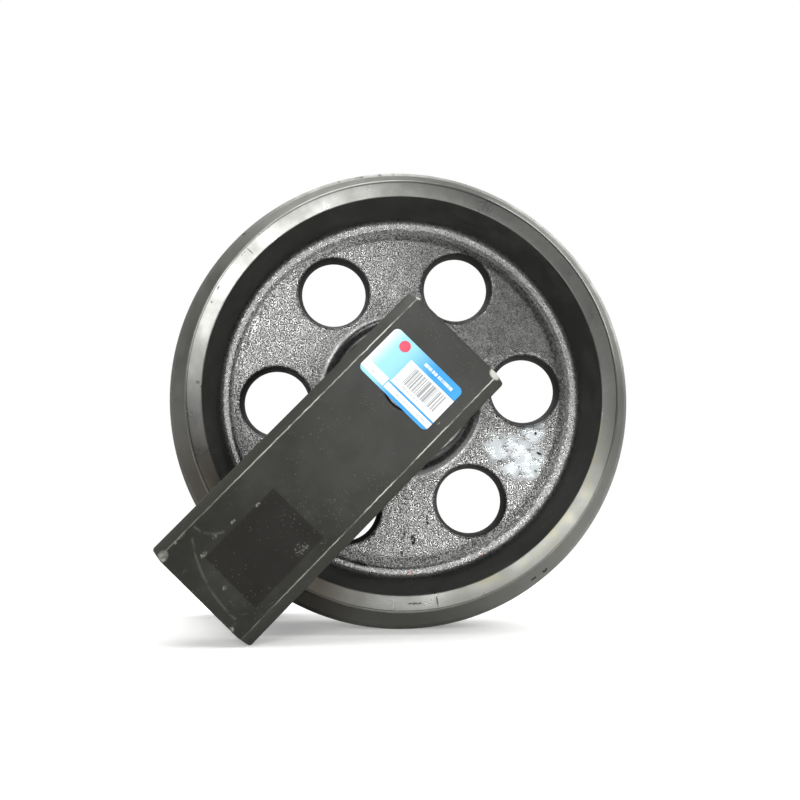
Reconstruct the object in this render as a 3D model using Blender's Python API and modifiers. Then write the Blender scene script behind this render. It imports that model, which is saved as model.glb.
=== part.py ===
# Front idler of a mini excavator: a rimmed wheel turning on a pinned shaft between two slide brackets.
# Metres, Z up. The axle lies along Y and the wheel stands on the ground at Z = 0, under the origin.
# Near means the -Y side. Heights along the axle are measured from the middle of the wheel.

import math

import bmesh
import bpy
from mathutils import Matrix, Vector

# Fits
GAP = 0.0003            # between two seated faces
SEAT = 0.0003           # radial, between a piece and the round seat that holds it
RUNNING = 0.0003        # radial, between the shaft and the bushes
FACE_GAP = 0.0003       # between the two lapped faces of a floating seal
REACH = 0.004           # how far a cutter runs past the face that it opens

# Wheel rim
FLANGE_R = 0.2200       # guide flange, the part that runs between the track's lugs
FLANGE_HALF = 0.0175
FLANGE_CHAMFER = 0.0040
FLANGE_FILLET = 0.0011  # at both edges of the chamfer
FLANGE_ROOT_HALF = 0.0275
FLANGE_ROOT_FILLET = 0.0040
FLANGE_HEIGHT = 0.0178  # above the tread, at the flange's root
TREAD_FALL = 0.0014     # of the tread, from the flange's root to the side face
RIM_HALF = 0.0545
RIM_WALL = 0.0157       # width of the machined side face
RIM_DRAFT = 0.0116      # what the rim thickens from the side face to the web
RIM_EDGE_FILLET = 0.0016
RIM_FILLET = 0.0085

# Wheel web and its holes
WEB_HALF = 0.0120
HOLE_COUNT = 6
HOLE_PHASE = math.radians(3.3)
HOLE_RIM_LAND = 0.0080  # left of the flat web between a hole and the rim
HOLE_HUB_LAND = 0.0121  # left between a hole and the hub's foot
HOLE_DRAFT = 0.0042     # what a hole gains from the middle of the web up to its rounded lip
HOLE_LIP = 0.0014

# Wheel hub
HUB_R = 0.0640
HUB_FOOT_R = 0.0715
HUB_FILLET = 0.0070
HUB_HALF = 0.0440
HUB_EDGE = 0.0020
HUB_MOUTH_EDGE = 0.0006 # at the mouth of the seal's pocket
CHAMBER_R = 0.0400      # oil space between the bushes
CHAMBER_HALF = 0.0060

# Shaft
JOURNAL_R = 0.0260
SHAFT_END_R = 0.0230
SHAFT_CHAMFER = 0.0015
SHAFT_RECESS = 0.0005   # of the shaft's ends below the brackets' faces
OIL_BORE_R = 0.0030
OIL_CROSS_R = 0.0025

# Bushes
BUSH_WALL = 0.0042
BUSH_FLANGE_R = 0.0345
BUSH_FLANGE = 0.0035
BUSH_CHAMFER = 0.0008

# Floating seals
SEAL_POCKET_R = 0.0375
SEAL_GAP = 0.0018       # between the hub and the bracket's boss
SEAL_RING_WIDTH = 0.0100
SEAL_RING_BORE_R = 0.0272
SEAL_NOSE_R = 0.0362
SEAL_NOSE = 0.0032
SEAL_BACK_ROOM = 0.0010 # behind a seal's metal rings
TORIC_CORD_R = 0.0036

# Rings round the shaft's ends
O_RING_CORD_R = 0.0016
O_RING_INSET = 0.0040   # of a ring's middle behind the bracket's inner face
O_RING_GROOVE_SIDE = 0.0005

# Brackets, in their own frame: x towards the tail, y across
YOKE_CLEARANCE = 0.0320 # from the flange to the brackets' tail ends, where the yoke is screwed on
BRACKET_NOSE = 0.0600   # from the shaft's centre line to the short ends
BRACKET_WIDTH = 0.1154
BRACKET_INNER = 0.0660
BRACKET_THICKNESS = 0.0462
BRACKET_CHAMFER = 0.0096
BRACKET_CORNER_R = 0.0020
BRACKET_EDGE = 0.0006
BOSS_R = 0.0550
BOSS_FOOT_R = 0.0565
BORE_CHAMFER = 0.0006
POCKET_BOSS_WALL = 0.0260
POCKET_END_WALL = 0.0110
POCKET_SIDE_WALL = 0.0127
POCKET_RIB = 0.0180
POCKET_DEPTH = 0.0180
POCKET_CORNER_R = 0.0100
YOKE_HOLE_R = 0.0065
YOKE_HOLE_DEPTH = 0.0280
YOKE_HOLE_OFFSET = 0.0320

# Lock pins
PIN_R = 0.0060
PIN_INSET = 0.0057      # of a pin's ends below the bracket's edges
PIN_BITE = 0.0045       # how deep a pin cuts into the side of the shaft
PIN_CHAMFER = 0.0010

# Oil plug in the far end of the shaft
PLUG_HEAD_R = 0.0095
PLUG_HEAD = 0.0022
PLUG_SHANK_R = 0.0060
PLUG_SHANK = 0.0110
PLUG_SOCKET_R = 0.0033
PLUG_SOCKET_DEPTH = 0.0040
PLUG_ROOM = 0.0020      # left in the bore beyond the plug
WASHER = 0.0010

# Facets, round a full turn and on a fillet
WHEEL_STEPS = 64
HOLE_STEPS = 30
ROUND_STEPS = 28
CORD_STEPS = 24
CORD_SIDES = 6
SMALL_STEPS = 16
FILLET_STEPS = 3
SMALL_FILLET = 0.0025

# Sizes that follow from the ones above
AXLE_HEIGHT = FLANGE_R
TREAD_R = FLANGE_R - FLANGE_HEIGHT
TREAD_EDGE_R = TREAD_R - TREAD_FALL
RIM_INNER_R = TREAD_EDGE_R - RIM_WALL
RIM_ROOT_R = RIM_INNER_R - RIM_DRAFT
WEB_R = RIM_ROOT_R - RIM_FILLET
HOLE_MOUTH_R = (WEB_R - HOLE_RIM_LAND - HUB_FOOT_R - HOLE_HUB_LAND) / 2
HOLE_PITCH_R = HUB_FOOT_R + HOLE_HUB_LAND + HOLE_MOUTH_R
BRACKET_OUTER = BRACKET_INNER + BRACKET_THICKNESS
BOSS_HALF = HUB_HALF + SEAL_GAP
SEAL_PLANE = HUB_HALF + SEAL_GAP / 2
SEAL_FLOOR = SEAL_PLANE + FACE_GAP / 2 + SEAL_RING_WIDTH + SEAL_BACK_ROOM
SHAFT_HALF = BRACKET_OUTER - SHAFT_RECESS
BUSH_SEAT_HALF = SEAL_PLANE - FACE_GAP / 2 - SEAL_RING_WIDTH - SEAL_BACK_ROOM - BUSH_FLANGE - GAP
JOURNAL_HALF = SEAL_FLOOR - GAP
BUSH_BORE_R = JOURNAL_R + RUNNING
BUSH_R = BUSH_BORE_R + BUSH_WALL
BUSH_SEAT_R = BUSH_R + SEAT
BUSH_INNER_END = CHAMBER_HALF + GAP
BRACKET_BORE_R = SHAFT_END_R + SEAT
PIN_HOLE_R = PIN_R + SEAT
PLUG_HOLE_R = PLUG_SHANK_R + SEAT
PLUG_RECESS_R = PLUG_HEAD_R + SEAT
PLUG_RECESS = GAP + WASHER + GAP + PLUG_HEAD + GAP
BRACKET_HALF_WIDTH = BRACKET_WIDTH / 2
BRACKET_TAIL = FLANGE_R + YOKE_CLEARANCE
BRACKET_MIDDLE = (BRACKET_INNER + BRACKET_OUTER) / 2
POCKET_START = BOSS_FOOT_R + POCKET_BOSS_WALL
POCKET_END = BRACKET_TAIL - YOKE_HOLE_DEPTH - POCKET_END_WALL
POCKET_WIDTH = BRACKET_HALF_WIDTH - POCKET_SIDE_WALL - POCKET_RIB / 2
O_RING_HEIGHT = BRACKET_INNER + O_RING_INSET
O_RING_GROOVE_HALF = O_RING_CORD_R + O_RING_GROOVE_SIDE
PIN_OFFSET = SHAFT_END_R + PIN_R - PIN_BITE
PIN_LENGTH = BRACKET_WIDTH - 2 * PIN_INSET
PIN_HEIGHT = BRACKET_MIDDLE


def bracket_lean():
    # The brackets hang from the shaft, so their long ends swing down until the tail corners meet the ground.
    along = BRACKET_TAIL - BRACKET_CORNER_R
    across = BRACKET_HALF_WIDTH - BRACKET_CORNER_R
    drop = AXLE_HEIGHT - BRACKET_CORNER_R
    return math.asin(drop / math.hypot(along, across)) - math.atan2(across, along)


def clear_scene():
    for obj in list(bpy.data.objects):
        bpy.data.objects.remove(obj, do_unlink=True)
    for collection in list(bpy.data.collections):
        bpy.data.collections.remove(collection)


def new_collection(name):
    collection = bpy.data.collections.new(name)
    bpy.context.scene.collection.children.link(collection)
    return collection


def material(name, color, roughness, metallic):
    mat = bpy.data.materials.new(name)
    mat.use_nodes = True
    shader = mat.node_tree.nodes["Principled BSDF"]
    shader.inputs["Base Color"].default_value = (*color, 1.0)
    shader.inputs["Roughness"].default_value = roughness
    shader.inputs["Metallic"].default_value = metallic
    mat.diffuse_color = (*color, 1.0)
    return mat


def filleted(corners, closed=True):
    # Each corner is (r, z) or (r, z, fillet radius); a small fillet is a single flat, a large one an arc.
    points = []
    count = len(corners)
    for i, corner in enumerate(corners):
        here = Vector(corner[:2])
        radius = corner[2] if len(corner) > 2 else 0.0
        at_end = not closed and i in (0, count - 1)
        if radius == 0.0 or at_end:
            points.append(tuple(here))
            continue
        back = (Vector(corners[i - 1][:2]) - here).normalized()
        ahead = (Vector(corners[(i + 1) % count][:2]) - here).normalized()
        half = back.angle(ahead) / 2
        steps = FILLET_STEPS if radius > SMALL_FILLET else 1
        reach = radius / math.tan(half)
        centre = here + (back + ahead).normalized() * radius / math.sin(half)
        first = here + back * reach - centre
        turn = first.angle_signed(here + ahead * reach - centre)
        for step in range(steps + 1):
            spoke = Matrix.Rotation(-turn * step / steps, 2) @ first
            points.append(tuple(centre + spoke))
    return points


def both_sides(half_profile):
    # Adds the mirror image of a profile that starts and ends at the middle of the wheel.
    return half_profile + [(r, -z) for r, z in reversed(half_profile[1:-1])]


def running_down(profile):
    # A turned profile at +X has to run down its outer side for its faces to point out.
    area = 0.0
    for (r0, z0), (r1, z1) in zip(profile, profile[1:] + profile[:1]):
        area += r0 * z1 - r1 * z0
    return profile if area < 0 else list(reversed(profile))


def turned(name, profile, steps, group, closed=True):
    points = running_down(profile)
    mesh = bpy.data.meshes.new(name)
    bm = bmesh.new()
    verts = [bm.verts.new((r, 0.0, z)) for r, z in points]
    for first, second in zip(verts, verts[1:]):
        bm.edges.new((first, second))
    if closed:
        bm.edges.new((verts[-1], verts[0]))
    bm.to_mesh(mesh)
    bm.free()
    obj = bpy.data.objects.new(name, mesh)
    group.objects.link(obj)
    screw = obj.modifiers.new("Turn", "SCREW")
    screw.steps = steps
    screw.render_steps = steps
    screw.use_merge_vertices = True
    screw.merge_threshold = 0.00001
    screw.use_smooth_shade = True
    return obj


def prism(name, outline, low, high, group):
    # A flat outline, filled and drawn out between two heights.
    curve = bpy.data.curves.new(name, "CURVE")
    curve.dimensions = "2D"
    curve.fill_mode = "BOTH"
    curve.extrude = (high - low) / 2
    spline = curve.splines.new("POLY")
    spline.points.add(len(outline) - 1)
    for point, (x, y) in zip(spline.points, outline):
        point.co = (x, y, 0.0, 1.0)
    spline.use_cyclic_u = True
    drawn = bpy.data.objects.new(name + "_outline", curve)
    group.objects.link(drawn)
    graph = bpy.context.evaluated_depsgraph_get()
    mesh = bpy.data.meshes.new_from_object(drawn.evaluated_get(graph))
    bpy.data.objects.remove(drawn, do_unlink=True)
    mesh.name = name
    bm = bmesh.new()
    bm.from_mesh(mesh)
    bmesh.ops.remove_doubles(bm, verts=bm.verts, dist=0.00001)
    bmesh.ops.translate(bm, verts=bm.verts, vec=(0.0, 0.0, (low + high) / 2))
    bmesh.ops.recalc_face_normals(bm, faces=bm.faces)
    bm.to_mesh(mesh)
    bm.free()
    obj = bpy.data.objects.new(name, mesh)
    group.objects.link(obj)
    return obj


def cylinder(name, radius, length, steps, group):
    mesh = bpy.data.meshes.new(name)
    bm = bmesh.new()
    bmesh.ops.create_cone(
        bm, cap_ends=True, segments=steps, radius1=radius, radius2=radius, depth=length)
    bm.to_mesh(mesh)
    bm.free()
    obj = bpy.data.objects.new(name, mesh)
    group.objects.link(obj)
    return obj


def hold(obj, frame, location=(0.0, 0.0, 0.0), rotation=(0.0, 0.0, 0.0)):
    obj.parent = frame
    obj.location = location
    obj.rotation_euler = rotation


def combine(obj, other, operation):
    change = obj.modifiers.new(operation.capitalize(), "BOOLEAN")
    change.operation = operation
    change.solver = "EXACT"
    change.object = other


def cut(obj, cutter):
    cutter.hide_render = True
    cutter.display_type = "WIRE"
    combine(obj, cutter, "DIFFERENCE")


def round_edges(bracket):
    # The upright corners of both ends are rounded more than the bracket's other edges.
    bm = bmesh.new()
    bm.from_mesh(bracket.data)
    weight = bm.edges.layers.float.new("bevel_weight_edge")
    for edge in bm.edges:
        first, second = (vert.co for vert in edge.verts)
        at_end = abs(first.x - second.x) < GAP and abs(first.z - second.z) > GAP
        edge[weight] = 1.0 if at_end else BRACKET_EDGE / BRACKET_CORNER_R
    bm.to_mesh(bracket.data)
    bm.free()
    edge = bracket.modifiers.new("Edge", "BEVEL")
    edge.width = BRACKET_CORNER_R
    edge.segments = 2
    edge.limit_method = "WEIGHT"


def finish(obj, mat):
    obj.data.materials.clear()
    obj.data.materials.append(mat)
    obj.data.shade_smooth()
    obj.data.set_sharp_from_angle(angle=math.radians(35))


def rectangle(x0, x1, half_width, corner_r):
    corners = [(x0, -half_width), (x1, -half_width), (x1, half_width), (x0, half_width)]
    return filleted([(x, y, corner_r) for x, y in corners])


def build_rim(parts, frame, mat):
    half = filleted([
        (FLANGE_R, 0.0),
        (FLANGE_R, FLANGE_HALF, FLANGE_FILLET),
        (FLANGE_R - FLANGE_CHAMFER, FLANGE_HALF + FLANGE_CHAMFER, FLANGE_FILLET),
        (TREAD_R, FLANGE_ROOT_HALF, FLANGE_ROOT_FILLET),
        (TREAD_EDGE_R, RIM_HALF, RIM_EDGE_FILLET),
        (RIM_INNER_R, RIM_HALF, RIM_EDGE_FILLET),
        (RIM_ROOT_R, WEB_HALF, RIM_FILLET),
        (WEB_R, WEB_HALF),
        (WEB_R, 0.0),
    ], closed=False)
    rim = turned("idler_rim", both_sides(half), WHEEL_STEPS, parts)
    hold(rim, frame)
    finish(rim, mat)


def build_web(parts, cutters, frame, mat):
    # The web and the hub, seated in the rim.
    half = filleted([
        (WEB_R - SEAT, 0.0),
        (WEB_R - SEAT, WEB_HALF),
        (HUB_FOOT_R, WEB_HALF, HUB_FILLET),
        (HUB_R, HUB_HALF, HUB_EDGE),
        (SEAL_POCKET_R, HUB_HALF, HUB_MOUTH_EDGE),
        (SEAL_POCKET_R, BUSH_SEAT_HALF),
        (BUSH_SEAT_R, BUSH_SEAT_HALF),
        (BUSH_SEAT_R, CHAMBER_HALF),
        (CHAMBER_R, CHAMBER_HALF),
        (CHAMBER_R, 0.0),
    ], closed=False)
    web = turned("idler_web", both_sides(half), WHEEL_STEPS, parts)
    hold(web, frame)

    # Each hole is drafted from its throat and opens into the web with a rounded lip.
    lip_r = HOLE_MOUTH_R - HOLE_LIP
    lip_height = WEB_HALF + GAP
    core_half = filleted([
        (lip_r - HOLE_DRAFT, 0.0),
        (lip_r, lip_height, HOLE_LIP),
        (HOLE_MOUTH_R, lip_height),
        (HOLE_MOUTH_R, WEB_HALF + REACH),
        (0.0, WEB_HALF + REACH),
    ], closed=False)
    core = [(r, -z) for r, z in reversed(core_half[1:])] + core_half
    for i in range(HOLE_COUNT):
        angle = HOLE_PHASE + i * math.tau / HOLE_COUNT
        place = (HOLE_PITCH_R * math.cos(angle), HOLE_PITCH_R * math.sin(angle), 0.0)
        cutter = turned(f"web_hole_{i + 1}", core, HOLE_STEPS, cutters, closed=False)
        hold(cutter, frame, place)
        cut(web, cutter)
    finish(web, mat)


def build_bush(side, parts, frame, mat):
    profile = [
        (BUSH_BORE_R, side * BUSH_INNER_END),
        (BUSH_R - BUSH_CHAMFER, side * BUSH_INNER_END),
        (BUSH_R, side * (BUSH_INNER_END + BUSH_CHAMFER)),
        (BUSH_R, side * (BUSH_SEAT_HALF + GAP)),
        (BUSH_FLANGE_R, side * (BUSH_SEAT_HALF + GAP)),
        (BUSH_FLANGE_R, side * (BUSH_SEAT_HALF + GAP + BUSH_FLANGE)),
        (BUSH_BORE_R, side * (BUSH_SEAT_HALF + GAP + BUSH_FLANGE)),
    ]
    bush = turned(f"{side_name(side)}_bush", profile, ROUND_STEPS, parts)
    hold(bush, frame)
    finish(bush, mat)


def side_name(side):
    return "near" if side > 0 else "far"


def build_seal(side, wheel_frame, support_frame, parts, steel, rubber):
    # Two equal metal rings run face to face; each is carried and sealed by a rubber ring in its pocket.
    cord_r = SEAL_POCKET_R - SEAT - TORIC_CORD_R
    ramp_r = cord_r - TORIC_CORD_R - SEAT
    for holder, frame, away in (("wheel", wheel_frame, -1), ("bracket", support_frame, 1)):
        def height(depth):
            return side * (SEAL_PLANE + away * (FACE_GAP / 2 + depth))

        section = [
            (SEAL_RING_BORE_R, height(0.0)),
            (SEAL_NOSE_R, height(0.0)),
            (SEAL_NOSE_R, height(SEAL_NOSE)),
            (ramp_r, height(SEAL_NOSE)),
            (ramp_r, height(SEAL_RING_WIDTH)),
            (SEAL_RING_BORE_R, height(SEAL_RING_WIDTH)),
        ]
        ring = turned(f"{side_name(side)}_{holder}_seal_ring", section, ROUND_STEPS, parts)
        hold(ring, frame)
        finish(ring, steel)
        cord = circle(cord_r, height(SEAL_NOSE + GAP + TORIC_CORD_R), TORIC_CORD_R, CORD_SIDES)
        toric = turned(f"{side_name(side)}_{holder}_toric_ring", cord, CORD_STEPS, parts)
        hold(toric, frame)
        finish(toric, rubber)


def circle(centre_r, centre_z, radius, steps):
    # Half a facet round from the axis, so that flats face the seats and not corners.
    points = []
    for i in range(steps):
        angle = (i + 0.5) * math.tau / steps
        points.append((centre_r + radius * math.cos(angle), centre_z + radius * math.sin(angle)))
    return points


def build_shaft(parts, cutters, frame, mat):
    groove_r = BRACKET_BORE_R - SEAT - 2 * O_RING_CORD_R - SEAT

    def end_half(side):
        return [
            (SHAFT_END_R - SHAFT_CHAMFER, side * SHAFT_HALF),
            (SHAFT_END_R, side * (SHAFT_HALF - SHAFT_CHAMFER)),
            (SHAFT_END_R, side * (O_RING_HEIGHT + O_RING_GROOVE_HALF)),
            (groove_r, side * (O_RING_HEIGHT + O_RING_GROOVE_HALF)),
            (groove_r, side * (O_RING_HEIGHT - O_RING_GROOVE_HALF)),
            (SHAFT_END_R, side * (O_RING_HEIGHT - O_RING_GROOVE_HALF)),
            (SHAFT_END_R, side * JOURNAL_HALF),
            (JOURNAL_R, side * JOURNAL_HALF),
        ]

    recess = SHAFT_HALF - PLUG_RECESS
    bore_end = recess - PLUG_SHANK - PLUG_ROOM
    profile = [(0.0, SHAFT_HALF)] + end_half(1) + list(reversed(end_half(-1))) + [
        (PLUG_RECESS_R, -SHAFT_HALF),
        (PLUG_RECESS_R, -recess),
        (PLUG_HOLE_R, -recess),
        (PLUG_HOLE_R, -bore_end),
        (OIL_BORE_R, -bore_end + PLUG_HOLE_R - OIL_BORE_R),
        (OIL_BORE_R, 0.0),
        (0.0, OIL_BORE_R),
    ]
    shaft = turned("shaft", profile, ROUND_STEPS, parts, closed=False)
    hold(shaft, frame)

    cross = cylinder("oil_cross_hole", OIL_CROSS_R, 2 * (JOURNAL_R + REACH), SMALL_STEPS, cutters)
    hold(cross, frame, (0.0, 0.0, -OIL_CROSS_R), (math.pi / 2, 0.0, 0.0))
    cut(shaft, cross)
    for side in (1, -1):
        notch = cylinder(f"{side_name(side)}_pin_notch", PIN_HOLE_R, BRACKET_WIDTH, SMALL_STEPS, cutters)
        hold(notch, frame, (PIN_OFFSET, 0.0, side * PIN_HEIGHT), (math.pi / 2, 0.0, 0.0))
        cut(shaft, notch)
    finish(shaft, mat)


def build_o_ring(side, parts, frame, mat):
    cord_r = BRACKET_BORE_R - SEAT - O_RING_CORD_R
    section = circle(cord_r, side * O_RING_HEIGHT, O_RING_CORD_R, CORD_SIDES)
    ring = turned(f"{side_name(side)}_shaft_o_ring", section, CORD_STEPS, parts)
    hold(ring, frame)
    finish(ring, mat)


def build_bracket(side, parts, cutters, frame, mat):
    name = f"{side_name(side)}_bracket"
    # The slide section, drawn out along the bracket: the outer face's long edges are chamfered.
    shoulder = side * (BRACKET_OUTER - BRACKET_CHAMFER)
    face_half = BRACKET_HALF_WIDTH - BRACKET_CHAMFER
    section = [
        (-BRACKET_HALF_WIDTH, side * BRACKET_INNER),
        (BRACKET_HALF_WIDTH, side * BRACKET_INNER),
        (BRACKET_HALF_WIDTH, shoulder),
        (face_half, side * BRACKET_OUTER),
        (-face_half, side * BRACKET_OUTER),
        (-BRACKET_HALF_WIDTH, shoulder),
    ]
    bracket = prism(name, section, -BRACKET_NOSE, BRACKET_TAIL, parts)
    # The section's axes turn from x, y and draw to across, height and along.
    bracket.data.transform(Matrix(((0, 0, 1, 0), (1, 0, 0, 0), (0, 1, 0, 0), (0, 0, 0, 1))))
    hold(bracket, frame)
    round_edges(bracket)

    boss_profile = [
        (0.0, side * BOSS_HALF),
        (BOSS_R - HUB_EDGE, side * BOSS_HALF),
        (BOSS_R, side * (BOSS_HALF + HUB_EDGE)),
        (BOSS_FOOT_R, side * (BRACKET_INNER + REACH)),
        (0.0, side * (BRACKET_INNER + REACH)),
    ]
    boss = turned(f"{name}_boss", boss_profile, ROUND_STEPS, cutters, closed=False)
    hold(boss, frame)
    boss.hide_render = True
    boss.display_type = "WIRE"
    combine(bracket, boss, "UNION")

    mouth = BRACKET_OUTER + REACH
    bore_profile = [
        (0.0, side * (BOSS_HALF - REACH)),
        (SEAL_POCKET_R, side * (BOSS_HALF - REACH)),
        (SEAL_POCKET_R, side * SEAL_FLOOR),
        (BRACKET_BORE_R, side * SEAL_FLOOR),
        (BRACKET_BORE_R, side * (BRACKET_OUTER - BORE_CHAMFER)),
        (BRACKET_BORE_R + BORE_CHAMFER + REACH, side * mouth),
        (0.0, side * mouth),
    ]
    bore = turned(f"{name}_bore", bore_profile, ROUND_STEPS, cutters, closed=False)
    hold(bore, frame)
    cut(bracket, bore)

    # Cored pockets on the hidden inner face leave a middle rib and two walls.
    floor = side * (BRACKET_INNER + POCKET_DEPTH)
    opened = side * (BRACKET_INNER - REACH)
    for across in (1, -1):
        centre = across * (POCKET_RIB + POCKET_WIDTH) / 2
        outline = [
            (x, y + centre)
            for x, y in rectangle(POCKET_START, POCKET_END, POCKET_WIDTH / 2, POCKET_CORNER_R)
        ]
        low, high = sorted((floor, opened))
        pocket = prism(f"{name}_pocket_{'a' if across > 0 else 'b'}", outline, low, high, cutters)
        hold(pocket, frame)
        cut(bracket, pocket)

    middle = side * BRACKET_MIDDLE
    for across in (1, -1):
        hole = cylinder(
            f"{name}_yoke_hole_{'a' if across > 0 else 'b'}", YOKE_HOLE_R, YOKE_HOLE_DEPTH + REACH,
            SMALL_STEPS, cutters)
        start = BRACKET_TAIL + (REACH - YOKE_HOLE_DEPTH) / 2
        hold(hole, frame, (start, across * YOKE_HOLE_OFFSET, middle), (0.0, math.pi / 2, 0.0))
        cut(bracket, hole)

    pin_hole = cylinder(f"{name}_pin_hole", PIN_HOLE_R, BRACKET_WIDTH + 2 * REACH, SMALL_STEPS, cutters)
    hold(pin_hole, frame, (PIN_OFFSET, 0.0, side * PIN_HEIGHT), (math.pi / 2, 0.0, 0.0))
    cut(bracket, pin_hole)
    finish(bracket, mat)


def build_lock_pin(side, parts, frame, mat):
    half = PIN_LENGTH / 2
    profile = [
        (0.0, half),
        (PIN_R - PIN_CHAMFER, half),
        (PIN_R, half - PIN_CHAMFER),
        (PIN_R, -half + PIN_CHAMFER),
        (PIN_R - PIN_CHAMFER, -half),
        (0.0, -half),
    ]
    pin = turned(f"{side_name(side)}_lock_pin", profile, SMALL_STEPS, parts, closed=False)
    hold(pin, frame, (PIN_OFFSET, 0.0, side * PIN_HEIGHT), (math.pi / 2, 0.0, 0.0))
    finish(pin, mat)


def build_oil_plug(parts, cutters, frame, steel, copper):
    recess = SHAFT_HALF - PLUG_RECESS
    washer_low = recess + GAP
    head_low = washer_low + WASHER + GAP
    head_high = head_low + PLUG_HEAD
    washer = turned("oil_plug_washer", [
        (PLUG_SHANK_R + SEAT, -washer_low),
        (PLUG_HEAD_R, -washer_low),
        (PLUG_HEAD_R, -washer_low - WASHER),
        (PLUG_SHANK_R + SEAT, -washer_low - WASHER),
    ], SMALL_STEPS, parts)
    hold(washer, frame)
    finish(washer, copper)

    plug = turned("oil_plug", [
        (0.0, -recess + PLUG_SHANK),
        (PLUG_SHANK_R, -recess + PLUG_SHANK),
        (PLUG_SHANK_R, -head_low),
        (PLUG_HEAD_R, -head_low),
        (PLUG_HEAD_R, -head_high),
        (0.0, -head_high),
    ], SMALL_STEPS, parts, closed=False)
    hold(plug, frame)
    socket = cylinder("oil_plug_socket", PLUG_SOCKET_R, 2 * PLUG_SOCKET_DEPTH, 6, cutters)
    hold(socket, frame, (0.0, 0.0, -head_high))
    cut(plug, socket)
    finish(plug, steel)


def main():
    clear_scene()
    parts = new_collection("front_idler")
    cutters = new_collection("cutters")

    black_casting = material("black_casting", (0.030, 0.031, 0.030), 0.45, 0.0)
    black_plate = material("black_plate", (0.045, 0.045, 0.043), 0.50, 0.0)
    ground_steel = material("ground_steel", (0.42, 0.42, 0.41), 0.30, 1.0)
    seal_iron = material("seal_iron", (0.30, 0.30, 0.30), 0.25, 1.0)
    bronze = material("bronze", (0.55, 0.38, 0.16), 0.35, 1.0)
    rubber = material("rubber", (0.018, 0.018, 0.018), 0.70, 0.0)
    copper = material("copper", (0.60, 0.28, 0.17), 0.35, 1.0)

    # Both frames lie on the axle with z towards the near side; the wheel turns in the first one.
    wheel_frame = bpy.data.objects.new("wheel_axis", None)
    support_frame = bpy.data.objects.new("support_axis", None)
    for frame in (wheel_frame, support_frame):
        parts.objects.link(frame)
        frame.location = (0.0, 0.0, AXLE_HEIGHT)
    wheel_frame.rotation_euler = (math.pi / 2, 0.0, 0.0)
    support_frame.rotation_euler = (math.pi / 2, -(math.pi + bracket_lean()), 0.0)

    build_rim(parts, wheel_frame, black_casting)
    build_web(parts, cutters, wheel_frame, black_casting)
    build_shaft(parts, cutters, support_frame, ground_steel)
    for side in (1, -1):
        build_bush(side, parts, wheel_frame, bronze)
        build_seal(side, wheel_frame, support_frame, parts, seal_iron, rubber)
        build_o_ring(side, parts, support_frame, rubber)
        build_bracket(side, parts, cutters, support_frame, black_plate)
        build_lock_pin(side, parts, support_frame, ground_steel)
    build_oil_plug(parts, cutters, support_frame, seal_iron, copper)


main()
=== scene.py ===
import math

import bmesh
import bpy
from mathutils import Matrix, Vector, noise


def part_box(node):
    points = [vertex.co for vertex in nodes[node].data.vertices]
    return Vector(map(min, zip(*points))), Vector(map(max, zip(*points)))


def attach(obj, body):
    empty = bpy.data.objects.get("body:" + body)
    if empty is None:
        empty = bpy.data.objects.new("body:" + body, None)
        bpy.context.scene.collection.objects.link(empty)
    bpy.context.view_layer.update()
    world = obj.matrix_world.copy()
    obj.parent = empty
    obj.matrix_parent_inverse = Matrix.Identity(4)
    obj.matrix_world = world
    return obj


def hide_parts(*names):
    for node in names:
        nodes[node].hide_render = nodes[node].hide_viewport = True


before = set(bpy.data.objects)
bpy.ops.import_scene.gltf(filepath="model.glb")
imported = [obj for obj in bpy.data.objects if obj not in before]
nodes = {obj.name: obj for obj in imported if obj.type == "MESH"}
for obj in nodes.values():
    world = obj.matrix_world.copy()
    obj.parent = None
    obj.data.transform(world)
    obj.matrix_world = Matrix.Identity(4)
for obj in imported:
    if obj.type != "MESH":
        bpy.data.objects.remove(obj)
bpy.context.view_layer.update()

wheelLow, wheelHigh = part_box("idler_rim")
axle = (wheelLow + wheelHigh) / 2  # the middle of the wheel, on the axle
print("Front idler: loaded the packed model, axle at", [round(v, 4) for v in axle])


# Node helpers.
def addNode(tree, kind, values=None, **settings):
    node = tree.nodes.new(kind)
    for key, value in settings.items():
        setattr(node, key, value)
    for key, value in (values or {}).items():
        feed(node.inputs[key], value)
    return node


def feed(socket, value):
    # A value is a number, a colour, or the output of another node.
    if isinstance(value, bpy.types.NodeSocket):
        socket.id_data.links.new(value, socket)
    elif isinstance(value, (tuple, list)) and socket.type == "RGBA" and len(value) == 3:
        socket.default_value = (*value, 1.0)
    else:
        socket.default_value = value


def treeOf(*values):
    # The node tree that holds the first socket among the values.
    return next(value.id_data for value in values if isinstance(value, bpy.types.NodeSocket))


def doMath(operation, first, second=0.0, third=0.0):
    node = addNode(treeOf(first, second, third), "ShaderNodeMath", operation=operation)
    for socket, value in zip(node.inputs, (first, second, third)):
        feed(socket, value)
    return node.outputs[0]


def remap(value, low, high, toLow=0.0, toHigh=1.0, curve="SMOOTHSTEP"):
    node = addNode(treeOf(value), "ShaderNodeMapRange", interpolation_type=curve)
    for socket, number in zip(node.inputs, (value, low, high, toLow, toHigh)):
        feed(socket, number)
    return node.outputs[0]


def both(first, second):
    # Where two masks meet, or a mask at a share of its strength.
    return doMath("MULTIPLY", first, second)


def either(first, second):
    return doMath("MAXIMUM", first, second)


def between(value, low, high):
    return both(doMath("GREATER_THAN", value, low), doMath("LESS_THAN", value, high))


def band(value, middle, half, soft):
    # 1 within half of the middle, falling to 0 over soft.
    away = doMath("ABSOLUTE", doMath("SUBTRACT", value, middle))
    return remap(away, half + soft, half)


def blendColor(factor, first, second):
    node = addNode(treeOf(factor), "ShaderNodeMix", {0: factor, 6: first, 7: second}, data_type="RGBA")
    return node.outputs[2]


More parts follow.
